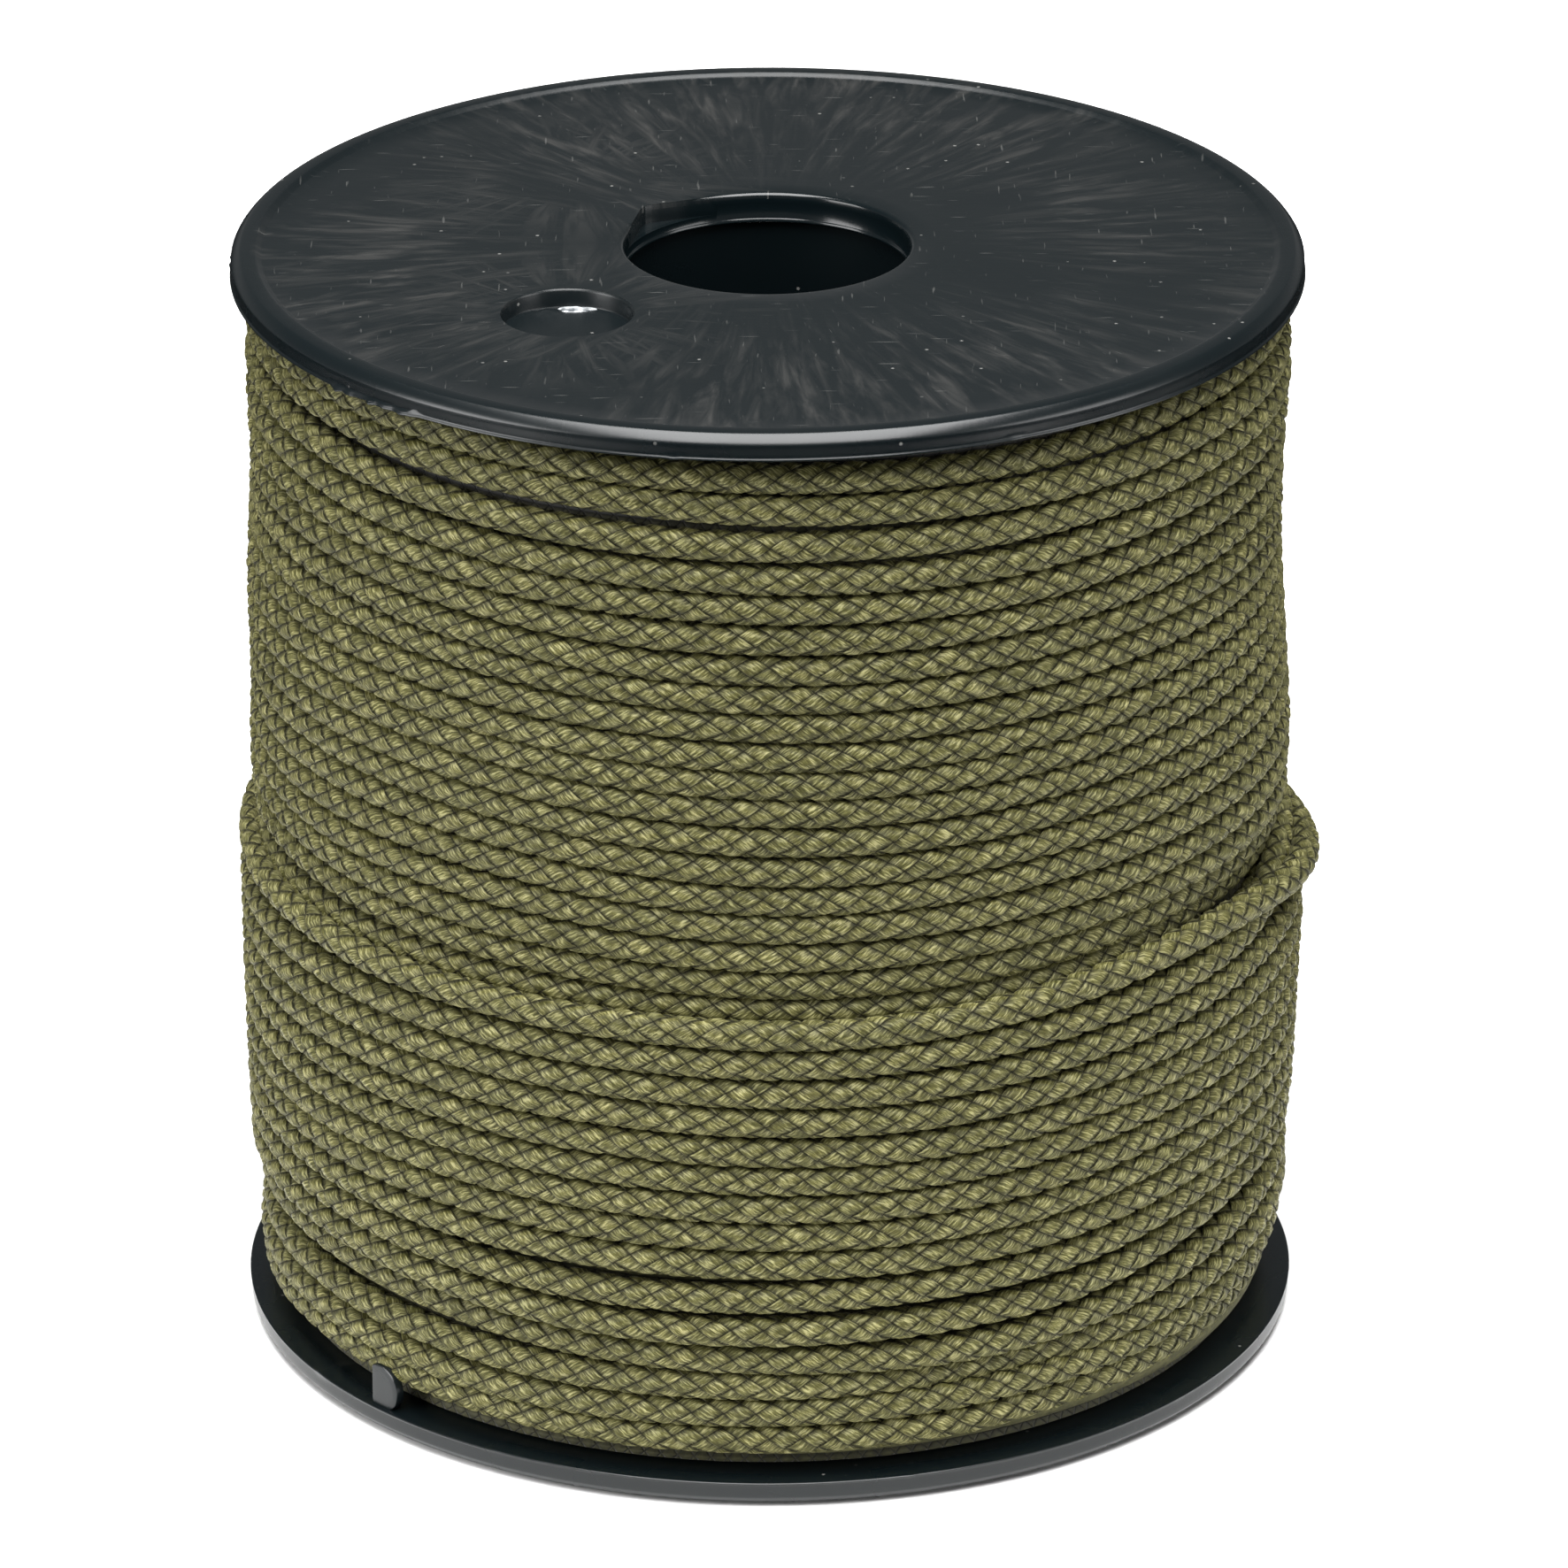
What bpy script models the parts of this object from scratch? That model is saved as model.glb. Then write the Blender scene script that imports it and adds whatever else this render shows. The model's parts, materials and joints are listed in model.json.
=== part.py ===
"""Spool of braided cord: two plastic flanges pressed into a hub tube, with the cord wound on it in layers.

Metres, +Z along the spool's axis. The spool stands on its bottom flange at z = 0.
"""
import math

import bmesh
import bpy
from mathutils import Matrix, Vector

MM = 0.001

# ---- driving sizes of the spool ------------------------------------------------------------
SPOOL_HEIGHT = 110.6 * MM        # over both flanges
FLANGE_RADIUS = 52.0 * MM
BORE_RADIUS = 13.93 * MM         # hole for the spindle through each flange
CLEARANCE = 0.3 * MM             # between pieces that seat on each other

# ---- the flange moulding, measured inwards from its outer face ------------------------------
RIM_HEIGHT = 2.55 * MM           # thickness at the rim, and of the wall that the cord lies against
RIM_ROUND = 0.7 * MM             # rounding between the rim's flat ring and its outer wall
LIP_ROUND = 0.2 * MM             # rounding of the rim's inner edge
BEAD_WIDTH = 2.4 * MM            # raised ring along the rim, which the spool stands on
BEAD_SLOPE = 0.7 * MM            # width of the slope from the ring down to the dished face
DISH_AT_RIM = 0.41 * MM          # how far the face lies below the ring beside the bead
DISH_AT_BORE = 0.05 * MM         # and beside the bore
BORE_CHAMFER = 0.4 * MM
COLLAR_DEPTH = 3.0 * MM          # length of the tight part of the bore
BORE_RELIEF = 0.55 * MM          # the bore is wider by this past the collar
SPIGOT_LENGTH = 9.0 * MM         # spigot that goes into the hub tube
SPIGOT_CHAMFER = 0.5 * MM

# ---- features on one side of the moulding ---------------------------------------------------
NOTCH_ANGLE = math.radians(-139.0)    # drive notch in the bore
NOTCH_REACH = 2.1 * MM                # how far its corner stands out of the bore
NOTCH_SPAN = math.radians(28.0)       # half the arc of the bore that the notch opens
NOTCH_DEPTH = 1.9 * MM
POCKET_ANGLE = math.radians(135.5)    # round gate pocket in the outer face
POCKET_DISTANCE = 26.8 * MM           # from the spool's axis
POCKET_RADIUS = 6.3 * MM
POCKET_DEPTH = 1.5 * MM
LUG_ANGLE = math.radians(-137.5)      # cord lug standing on the rim's inner side
LUG_RADIUS = 2.45 * MM
LUG_THICKNESS = 0.9 * MM
LUG_SINK = 0.5 * MM                   # how deep its foot goes into the rim
LUG_FLAT = math.radians(120.0)        # the lug's round side runs this far both ways from its middle

# ---- the hub tube ---------------------------------------------------------------------------
TUBE_INNER_RADIUS = 16.2 * MM
TUBE_WALL = 1.8 * MM

# ---- the wound cord -------------------------------------------------------------------------
FULL_LAYERS = 13                      # layers that run from flange to flange
PACK_INSET = 1.4 * MM                 # the last full layer lies this far inside the flange's edge
OUTER_LAYER_THICKNESS = 1.6 * MM      # the last layer sinks into the grooves of the one below
OUTER_LAYER_TOP = 51.5 * MM           # the last layer covers only the lower part
LAST_LAYER_TOP_GAP = 1.0 * MM         # the last full layer stops this short of the top flange
LAST_LAYER_BOTTOM_GAP = 2.45 * MM     # and of the bottom one
LAYER_EDGE = 0.5 * MM                 # the layers' edges are broken by this

FLANGE_STEPS = 72
LAYER_STEPS = 48

# ---- sizes that follow ----------------------------------------------------------------------
TUBE_OUTER_RADIUS = TUBE_INNER_RADIUS + TUBE_WALL
SPIGOT_RADIUS = TUBE_INNER_RADIUS - CLEARANCE
WINDING_BOTTOM = RIM_HEIGHT + CLEARANCE
WINDING_TOP = SPOOL_HEIGHT - RIM_HEIGHT - CLEARANCE
PACK_RADIUS = FLANGE_RADIUS - PACK_INSET
LAYER_PITCH = (PACK_RADIUS + CLEARANCE - (TUBE_OUTER_RADIUS + CLEARANCE)) / FULL_LAYERS
LUG_TOP = RIM_HEIGHT - LUG_SINK + 2 * LUG_RADIUS


def clear_scene():
    """Start from an empty scene."""
    for obj in list(bpy.data.objects):
        bpy.data.objects.remove(obj, do_unlink=True)


def new_collection(name):
    collection = bpy.data.collections.new(name)
    bpy.context.scene.collection.children.link(collection)
    return collection


def plastic(name, color, roughness):
    material = bpy.data.materials.new(name)
    material.use_nodes = True
    shader = material.node_tree.nodes["Principled BSDF"]
    shader.inputs["Base Color"].default_value = (*color, 1.0)
    shader.inputs["Roughness"].default_value = roughness
    shader.inputs["Metallic"].default_value = 0.0
    return material


def arc(center_r, center_z, radius, start, end, steps):
    """Points of a round corner in the profile's plane, angles in radians from +r towards +z."""
    points = []
    for i in range(steps + 1):
        a = start + (end - start) * i / steps
        points.append((center_r + radius * math.cos(a), center_z + radius * math.sin(a)))
    return points


def turned(name, profile, steps, collection, material):
    """A closed outline of (radius, height) points, turned about Z. The outline's outer side runs downwards."""
    mesh = bpy.data.meshes.new(name)
    corners = [(r, 0.0, z) for r, z in profile]
    edges = [(i, (i + 1) % len(corners)) for i in range(len(corners))]
    mesh.from_pydata(corners, edges, [])
    obj = bpy.data.objects.new(name, mesh)
    collection.objects.link(obj)
    screw = obj.modifiers.new("Turn", "SCREW")
    screw.axis = "Z"
    screw.angle = 2 * math.pi
    screw.screw_offset = 0.0
    screw.steps = steps
    screw.render_steps = steps
    screw.use_merge_vertices = True
    screw.merge_threshold = 0.00001
    screw.use_smooth_shade = True
    obj.data.materials.append(material)
    return obj


def prism(name, outline, low, high, collection, place=Matrix()):
    """A flat outline of (x, y) points, extruded from z = low to z = high, then moved by place."""
    curve = bpy.data.curves.new(name, "CURVE")
    curve.dimensions = "2D"
    curve.fill_mode = "BOTH"
    curve.extrude = (high - low) / 2
    spline = curve.splines.new("POLY")
    spline.points.add(len(outline) - 1)
    for point, (x, y) in zip(spline.points, outline):
        point.co = (x, y, 0.0, 1.0)
    spline.use_cyclic_u = True
    shape = bpy.data.objects.new(name + "_outline", curve)
    collection.objects.link(shape)
    bpy.context.view_layer.update()
    evaluated = shape.evaluated_get(bpy.context.evaluated_depsgraph_get())
    mesh = bpy.data.meshes.new_from_object(evaluated)
    bpy.data.objects.remove(shape, do_unlink=True)
    bpy.data.curves.remove(curve)
    welded = bmesh.new()
    welded.from_mesh(mesh)
    bmesh.ops.remove_doubles(welded, verts=welded.verts, dist=0.000001)
    bmesh.ops.translate(welded, verts=welded.verts, vec=Vector((0.0, 0.0, (low + high) / 2)))
    bmesh.ops.transform(welded, verts=welded.verts, matrix=place)
    bmesh.ops.recalc_face_normals(welded, faces=welded.faces)
    welded.to_mesh(mesh)
    welded.free()
    obj = bpy.data.objects.new(name, mesh)
    collection.objects.link(obj)
    return obj


def boolean(obj, tool, operation):
    """Join or cut with a helper solid, which stays hidden."""
    modifier = obj.modifiers.new(tool.name, "BOOLEAN")
    modifier.operation = operation
    modifier.object = tool
    tool.hide_render = True
    tool.display_type = "WIRE"


def flange_profile():
    """Outline of the moulding with its outer face down: bead, wall, flat inner face, spigot and bore."""
    bead_outer = FLANGE_RADIUS - RIM_ROUND
    bead_inner = FLANGE_RADIUS - BEAD_WIDTH
    face_edge = bead_inner - BEAD_SLOPE
    spigot_end = RIM_HEIGHT + SPIGOT_LENGTH
    relief = BORE_RADIUS + BORE_RELIEF
    points = []
    points += [(SPIGOT_RADIUS, RIM_HEIGHT)]
    points += arc(FLANGE_RADIUS - LIP_ROUND, RIM_HEIGHT - LIP_ROUND, LIP_ROUND, math.pi / 2, 0.0, 1)
    points += arc(bead_outer, RIM_ROUND, RIM_ROUND, 0.0, -math.pi / 2, 3)
    points += [(bead_inner, 0.0), (face_edge, DISH_AT_RIM)]
    points += [(BORE_RADIUS + BORE_CHAMFER, DISH_AT_BORE)]
    points += [(BORE_RADIUS, DISH_AT_BORE + BORE_CHAMFER)]
    points += [(BORE_RADIUS, COLLAR_DEPTH), (relief, COLLAR_DEPTH)]
    points += [(relief, spigot_end), (SPIGOT_RADIUS - SPIGOT_CHAMFER, spigot_end)]
    points += [(SPIGOT_RADIUS, spigot_end - SPIGOT_CHAMFER)]
    return points


def polar(radius, angle):
    return (radius * math.cos(angle), radius * math.sin(angle))


def notch_outline():
    """A corner that leaves the bore along two straight edges, with a small round at its tip."""
    inside = polar(BORE_RADIUS * 0.6, NOTCH_ANGLE)
    side_a = polar(BORE_RADIUS, NOTCH_ANGLE + NOTCH_SPAN)
    side_b = polar(BORE_RADIUS, NOTCH_ANGLE - NOTCH_SPAN)
    tip = Vector(polar(BORE_RADIUS + NOTCH_REACH, NOTCH_ANGLE))
    tip_a = tip.lerp(Vector(side_a), 0.12)
    tip_b = tip.lerp(Vector(side_b), 0.12)
    middle = (tip_a + tip_b) / 2 * 0.5 + tip * 0.5
    return [inside, side_b, tuple(tip_b), tuple(middle), tuple(tip_a), side_a]


def lug_outline():
    """A disc with one side cut flat: x runs round the rim, y is height above the disc's middle."""
    steps = 10
    angles = [-LUG_FLAT + 2 * LUG_FLAT * i / steps for i in range(steps + 1)]
    return [polar(LUG_RADIUS, a) for a in angles]


def lug_place():
    """Stands the lug's outline up on the rim, its face square to the radius and flush with the wall."""
    foot = RIM_HEIGHT - LUG_SINK + LUG_RADIUS
    upright = Matrix.Rotation(math.pi / 2, 4, "X")
    outwards = Matrix.Rotation(LUG_ANGLE + math.pi / 2, 4, "Z")
    spot = Vector((*polar(FLANGE_RADIUS - 2 * LIP_ROUND, LUG_ANGLE), foot))
    return Matrix.Translation(spot) @ outwards @ upright


def flange(name, parts, tools, material):
    """The moulding, outer face down. Both flanges are this one shape."""
    body = turned(name, flange_profile(), FLANGE_STEPS, parts, material)
    lug = prism(name + "_lug", lug_outline(), -LUG_THICKNESS, 0.0, tools, lug_place())
    boolean(body, lug, "UNION")
    below = -1 * MM
    notch = prism(name + "_notch", notch_outline(), below, NOTCH_DEPTH, tools)
    boolean(body, notch, "DIFFERENCE")
    pocket_mesh = bmesh.new()
    bmesh.ops.create_cone(
        pocket_mesh,
        cap_ends=True,
        segments=32,
        radius1=POCKET_RADIUS,
        radius2=POCKET_RADIUS,
        depth=DISH_AT_RIM + POCKET_DEPTH - below,
        matrix=Matrix.Translation(Vector((0.0, 0.0, (DISH_AT_RIM + POCKET_DEPTH + below) / 2))),
    )
    mesh = bpy.data.meshes.new(name + "_pocket")
    pocket_mesh.to_mesh(mesh)
    pocket_mesh.free()
    pocket = bpy.data.objects.new(name + "_pocket", mesh)
    tools.objects.link(pocket)
    pocket.location = (*polar(POCKET_DISTANCE, POCKET_ANGLE), 0.0)
    boolean(body, pocket, "DIFFERENCE")
    for tool in (lug, notch, pocket):
        tool.parent = body
    return body


def ring_profile(inner, outer, low, high, edge):
    """Outline of a plain ring with broken edges."""
    return [
        (inner + edge, high),
        (outer - edge, high),
        (outer, high - edge),
        (outer, low + edge),
        (outer - edge, low),
        (inner + edge, low),
        (inner, low + edge),
        (inner, high - edge),
    ]


def square_profile(inner, outer, low, high):
    """Outline of a plain ring with sharp edges."""
    return [(inner, high), (outer, high), (outer, low), (inner, low)]


def build():
    clear_scene()
    parts = new_collection("cord_spool")
    tools = new_collection("tools")
    black = plastic("black_plastic", (0.018, 0.019, 0.021), 0.38)
    black_tube = plastic("tube_plastic", (0.016, 0.016, 0.017), 0.5)
    olive = plastic("olive_cord", (0.150, 0.138, 0.062), 0.85)

    flange("bottom_flange", parts, tools, black)
    top = flange("top_flange", parts, tools, black)
    top.location = (0.0, 0.0, SPOOL_HEIGHT)
    top.rotation_euler = (math.pi, 0.0, 0.0)

    tube = square_profile(TUBE_INNER_RADIUS, TUBE_OUTER_RADIUS, WINDING_BOTTOM, WINDING_TOP)
    turned("hub_tube", tube, LAYER_STEPS, parts, black_tube)

    for layer in range(1, FULL_LAYERS):
        inner = TUBE_OUTER_RADIUS + CLEARANCE + (layer - 1) * LAYER_PITCH
        outer = inner + LAYER_PITCH - CLEARANCE
        profile = square_profile(inner, outer, WINDING_BOTTOM, WINDING_TOP)
        turned(f"cord_layer_{layer:02d}", profile, LAYER_STEPS, parts, olive)

    last_inner = PACK_RADIUS + CLEARANCE - LAYER_PITCH
    last_low = RIM_HEIGHT + LAST_LAYER_BOTTOM_GAP
    last_high = SPOOL_HEIGHT - RIM_HEIGHT - LAST_LAYER_TOP_GAP
    profile = ring_profile(last_inner, PACK_RADIUS, last_low, last_high, LAYER_EDGE)
    turned(f"cord_layer_{FULL_LAYERS:02d}", profile, FLANGE_STEPS, parts, olive)

    outer_low = LUG_TOP + CLEARANCE
    outer_inner = PACK_RADIUS + CLEARANCE
    outer_edge = outer_inner + OUTER_LAYER_THICKNESS
    profile = ring_profile(outer_inner, outer_edge, outer_low, OUTER_LAYER_TOP, LAYER_EDGE)
    turned(f"cord_layer_{FULL_LAYERS + 1:02d}", profile, FLANGE_STEPS, parts, olive)


build()
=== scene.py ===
# %% [markdown]
# # A spool of braided cord
# Two black plastic flanges hold about 100 m of olive cord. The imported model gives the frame: every size that
# touches another piece is read from it. This lesson makes the cord that shows, strand by strand, and then the
# flanges, the tube, the finishes and the light.

# %% Open the frame and measure it
import json
import math

import bpy
import numpy as np
from mathutils import Matrix, Vector

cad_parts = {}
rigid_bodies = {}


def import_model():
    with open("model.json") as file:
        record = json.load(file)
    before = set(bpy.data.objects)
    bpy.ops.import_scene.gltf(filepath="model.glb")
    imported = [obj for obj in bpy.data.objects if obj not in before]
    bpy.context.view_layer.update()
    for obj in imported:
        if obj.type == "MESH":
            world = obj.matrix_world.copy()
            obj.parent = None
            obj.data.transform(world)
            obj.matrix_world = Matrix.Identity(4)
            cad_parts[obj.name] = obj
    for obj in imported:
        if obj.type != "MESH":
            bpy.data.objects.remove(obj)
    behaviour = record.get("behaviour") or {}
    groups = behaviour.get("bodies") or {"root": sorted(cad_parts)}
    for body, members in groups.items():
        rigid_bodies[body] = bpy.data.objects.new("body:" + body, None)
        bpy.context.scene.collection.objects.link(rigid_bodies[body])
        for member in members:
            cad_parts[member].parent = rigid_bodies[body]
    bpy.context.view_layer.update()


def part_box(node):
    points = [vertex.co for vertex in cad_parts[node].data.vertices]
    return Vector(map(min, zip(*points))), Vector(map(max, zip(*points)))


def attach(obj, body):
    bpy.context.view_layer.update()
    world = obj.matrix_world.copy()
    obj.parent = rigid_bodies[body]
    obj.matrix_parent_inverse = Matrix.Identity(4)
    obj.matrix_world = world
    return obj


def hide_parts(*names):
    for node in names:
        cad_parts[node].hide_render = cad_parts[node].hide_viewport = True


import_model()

MM = 0.001
rng = np.random.default_rng(7)

SPOOL_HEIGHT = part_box("top_flange")[1].z / MM
print("spool", round(SPOOL_HEIGHT, 2), "mm high")

# %% [markdown]
# ## The camera
# A long lens from well back keeps the flanges' ovals calm, as in a shop picture. The camera stands in front of
# the spool and looks down a little, so that the upper face shows. It aims slightly to the right of the axis and
# below the middle, which sets the spool left of the frame's centre and above it.

# %% Make the camera
CAMERA_RISE = math.radians(22.816)
CAMERA_DISTANCE = 1155.56
CAMERA_ROLL = math.radians(-0.10)
LENS = 268.98
AIM_RIGHT = 1.518
AIM_DOWN = 1.498

middle = Vector((0.0, 0.0, SPOOL_HEIGHT / 2)) * MM
to_camera = Vector((0.0, -math.cos(CAMERA_RISE), math.sin(CAMERA_RISE)))
up_in_view = Vector((0.0, math.sin(CAMERA_RISE), math.cos(CAMERA_RISE)))
aim = middle + (Vector((1.0, 0.0, 0.0)) * AIM_RIGHT - up_in_view * AIM_DOWN) * MM

camera_data = bpy.data.cameras.new("camera")
camera_data.lens = LENS
camera_data.sensor_width = 36.0
camera_data.clip_start = 0.05
camera_data.clip_end = 50.0
camera = bpy.data.objects.new("camera", camera_data)
bpy.context.scene.collection.objects.link(camera)
camera.location = middle + to_camera * CAMERA_DISTANCE * MM
turn = (camera.location - aim).to_track_quat("Z", "Y")
camera.rotation_euler = (turn.to_matrix() @ Matrix.Rotation(CAMERA_ROLL, 3, "Z")).to_euler()
bpy.context.scene.camera = camera
print("camera at", [round(v, 4) for v in camera.location])

# %% [markdown]
# ## Where the cord runs
# The cord is one line. It comes out of the layers below at the top flange, runs down the spool as the last full
# layer, turns round at the bottom flange and climbs half way up again as the outer layer. Hand-guided winding is
# never even, so each turn's height is given at seven places round the front. Between them, and round the back,
# the line is interpolated. Azimuth is 0 at the front and grows to the right, seen from the front.

# %% Heights of the turns, in mm
PLACES = np.array([-60.0, -40.0, -20.0, 0.0, 20.0, 40.0, 60.0])
FULL_LAYER = np.array([
    [106.3, 106.1, 105.3, 105.2, 104.7, 104.3, 104.8],
    [104.0, 102.9, 102.7, 101.9, 101.7, 101.2, 101.9],
    [100.0, 99.1, 98.6, 98.2, 98.2, 98.2, 98.8],
    [96.5, 95.7, 95.2, 95.0, 94.5, 94.9, 95.7],
    [93.2, 92.8, 92.3, 91.9, 91.5, 91.7, 92.2],
    [90.1, 90.0, 89.1, 88.8, 88.5, 88.7, 88.7],
    [86.9, 86.9, 86.0, 85.6, 85.5, 85.7, 85.5],
    [83.9, 84.3, 83.3, 82.7, 82.6, 82.7, 82.6],
    [81.1, 81.2, 80.4, 79.9, 79.5, 79.7, 79.5],
    [78.2, 78.1, 77.5, 76.9, 76.5, 76.7, 76.7],
    [75.2, 75.4, 74.8, 74.1, 73.8, 74.0, 74.2],
    [72.3, 72.5, 72.1, 71.3, 71.0, 71.3, 71.4],
    [69.5, 69.7, 69.3, 68.3, 68.1, 68.4, 68.6],
    [66.5, 66.9, 66.5, 65.2, 65.1, 65.6, 65.7],
    [63.6, 64.0, 63.5, 62.3, 62.3, 62.7, 62.7],
    [60.8, 60.7, 60.5, 59.6, 59.4, 59.6, 59.7],
    [58.1, 57.6, 57.5, 56.7, 56.4, 56.8, 56.8],
    [55.1, 54.7, 54.5, 53.8, 53.5, 53.9, 54.3],
    [51.4, 51.7, 51.4, 51.0, 50.6, 50.9, 52.0],
])
OUTER_LAYER = np.array([
    [6.8, 6.6, 6.3, 6.6, 6.6, 7.4, 7.2],
    [9.0, 8.7, 9.0, 9.5, 9.6, 9.9, 9.8],
    [11.9, 12.0, 12.0, 12.5, 11.9, 12.2, 13.0],
    [16.0, 15.6, 15.2, 15.3, 14.6, 15.2, 16.6],
    [19.1, 18.9, 18.2, 18.3, 18.3, 18.5, 21.3],
    [21.9, 21.9, 21.6, 21.8, 22.0, 22.3, 24.2],
    [24.8, 25.2, 25.6, 25.3, 25.2, 25.6, 26.8],
    [27.8, 28.4, 28.6, 28.3, 28.1, 28.6, 29.7],
    [30.5, 31.5, 31.5, 31.2, 31.0, 31.6, 32.5],
    [33.6, 34.4, 34.5, 34.2, 33.9, 34.8, 35.5],
    [36.7, 37.4, 37.6, 37.1, 36.8, 37.7, 38.2],
    [39.9, 40.4, 40.6, 40.3, 40.0, 40.6, 41.1],
    [43.0, 43.4, 43.6, 43.3, 43.0, 43.7, 44.2],
    [46.2, 46.5, 46.6, 46.3, 46.2, 46.9, 47.0],
    [49.9, 49.8, 49.7, 49.3, 49.1, 50.2, 50.1],
])
HIDDEN_TURNS = 15
LOWEST_TURN = 5.2
seen_turns = len(FULL_LAYER)
first_outer = seen_turns + HIDDEN_TURNS

knots = []
for number, row in enumerate(FULL_LAYER):
    knots += [(360.0 * number + place, height) for place, height in zip(PLACES, row)]
hidden_step = (FULL_LAYER[-1, 3] - LOWEST_TURN) / HIDDEN_TURNS
for number in range(1, HIDDEN_TURNS + 1):
    knots += [(360.0 * (seen_turns - 1 + number), FULL_LAYER[-1, 3] - hidden_step * number)]
for number, row in enumerate(OUTER_LAYER[:-2]):
    knots += [(360.0 * (first_outer + number) + place, height) for place, height in zip(PLACES, row)]

# The turn before the last climbs under the last one at the right, and the last one crosses over it.
under = 360.0 * (first_outer + len(OUTER_LAYER) - 2)
over = under + 360.0
knots += [(under + place, height) for place, height in zip(PLACES, OUTER_LAYER[-2])]
knots += [(under + 70, 47.8), (under + 80, 49.3), (under + 90, 50.4), (under + 102, 50.9), (under + 180, 50.9)]
knots += [(over + place, height) for place, height in zip(PLACES[:-1], OUTER_LAYER[-1][:-1])]
knots += [(over + 52, 50.9), (over + 62, 50.3), (over + 72, 49.5), (over + 82, 48.8), (over + 92, 48.1)]
knots += [(over + 110, 47.7), (over + 190, 47.7), (over + 232, 48.0)]
knots = [(-230.0, 106.3), (-100.0, 106.5)] + knots
knots = np.array(sorted(knots))
print(len(knots), "heights,", round((knots[-1, 0] - knots[0, 0]) / 360, 1), "turns")

# %% [markdown]
# The distance from the axis changes too. The full layer is slimmest a third of the way down, and the outer layer
# lies on it like a second coat. A few stretches are pressed in or pushed out: they are written one per line as
# turn, azimuth, half width in degrees, and how far in or out, in mm.

# %% Distance of the cord's middle from the axis, in mm
BACK_AND_FRONT = np.array([(4, 48.4), (50, 48.6), (58, 49.4), (70, 49.0), (85, 48.5), (97, 48.8), (107, 48.8)])
LEFT = np.array([(4, 48.4), (50, 48.8), (59, 49.6), (66, 49.4), (77, 49.6), (89, 49.0), (98, 49.3), (107, 49.2)])
RIGHT = np.array([(4, 48.4), (50, 48.8), (57, 49.7), (62, 49.9), (80, 48.7), (90, 48.8), (99, 49.5), (107, 49.3)])
OUTER_BACK_AND_FRONT = np.array([(6, 50.1), (12, 50.3), (16, 50.6), (20, 51.0), (51, 51.0)])
OUTER_LEFT = np.array([(6, 49.2), (9, 49.4), (14, 48.8), (19, 50.1), (28, 50.4), (36, 50.6), (51, 50.8)])
OUTER_RIGHT = np.array([(6, 48.9), (14, 50.2), (18, 50.0), (25, 50.7), (31, 50.9), (42, 51.3), (51, 51.0)])
PRESSED = [
    (0, 50, 55, -1.1), (1, -5, 40, 0.15), (17, 66, 30, -0.5), (18, 70, 40, -1.0),
    (first_outer, 75, 50, -0.6), (first_outer + 2, 26, 26, -1.0), (first_outer + 3, -42, 40, -0.7),
    (first_outer + 3, 24, 24, 0.25), (first_outer + 4, -10, 50, 0.2),
    (first_outer + 13, 84, 24, -0.9), (first_outer + 14, 84, 27, 1.8), (first_outer + 14, 120, 40, 0.6),
]
CLIMB_START, CLIMB_END = 360.0 * first_outer - 200.0, 360.0 * first_outer - 70.0
RISE_START, RISE_END, RISE_DEPTH = -225.0, -120.0, 2.4
TUCK_START, TUCK_END, TUCK_DEPTH = over + 188.0, over + 230.0, 5.0


def bump(x, middle_at, half_width):
    """A smooth hill: one half of 1 + cos, 1 at its middle and 0 past its half width."""
    t = np.clip((x - middle_at) / half_width, -1.0, 1.0)
    return 0.5 + 0.5 * np.cos(np.pi * t)


def smooth_step(x, start, end):
    """0 before start, 1 after end, and 3 t squared minus 2 t cubed between."""
    t = np.clip((x - start) / (end - start), 0.0, 1.0)
    return t * t * (3.0 - 2.0 * t)


def softened(values, width):
    """Each value becomes the mean of its neighbours, weighted by a bell curve of that width in steps."""
    reach = int(3 * width)
    bell = np.exp(-0.5 * (np.arange(-reach, reach + 1) / width) ** 2)
    padded = np.pad(values, reach, mode="edge")
    return np.convolve(padded, bell / bell.sum(), mode="valid")


STEP = 0.5
theta = np.arange(knots[0, 0], knots[-1, 0] + STEP / 2, STEP)
height = softened(np.interp(theta, knots[:, 0], knots[:, 1]), 9.0 / STEP)

azimuth = np.radians(theta)
side = np.sin(azimuth)
share = side**2


def distance_at(middle_line, left, right):
    """Front and back value where the side's share is 0, the left or right value where it is 1."""
    flank = np.where(side < 0, np.interp(height, *left.T), np.interp(height, *right.T))
    return np.interp(height, *middle_line.T) * (1 - share) + flank * share


climb = smooth_step(theta, CLIMB_START, CLIMB_END)
distance = distance_at(BACK_AND_FRONT, LEFT, RIGHT) * (1 - climb)
distance += distance_at(OUTER_BACK_AND_FRONT, OUTER_LEFT, OUTER_RIGHT) * climb
distance = softened(distance, 6.0 / STEP)
for number, place, half_width, amount in PRESSED:
    distance += amount * bump(theta, 360.0 * number + place, half_width)

# Small shared waves: neighbours wave together, so that they don't cut into each other.
for waves_round, waves_down, size in ((3, 0.05, 0.10), (5, 0.11, 0.07), (8, 0.17, 0.045), (13, 0.3, 0.03)):
    phase = rng.uniform(0, 2 * np.pi, 2)
    back = 0.35 + 0.65 * smooth_step(np.abs((theta + 180) % 360 - 180), 50, 110)
    height += back * size * np.sin(waves_round * azimuth + waves_down * height + phase[0])
    distance += 0.5 * size * np.sin((waves_round + 1) * azimuth + waves_down * height + phase[1])

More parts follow.
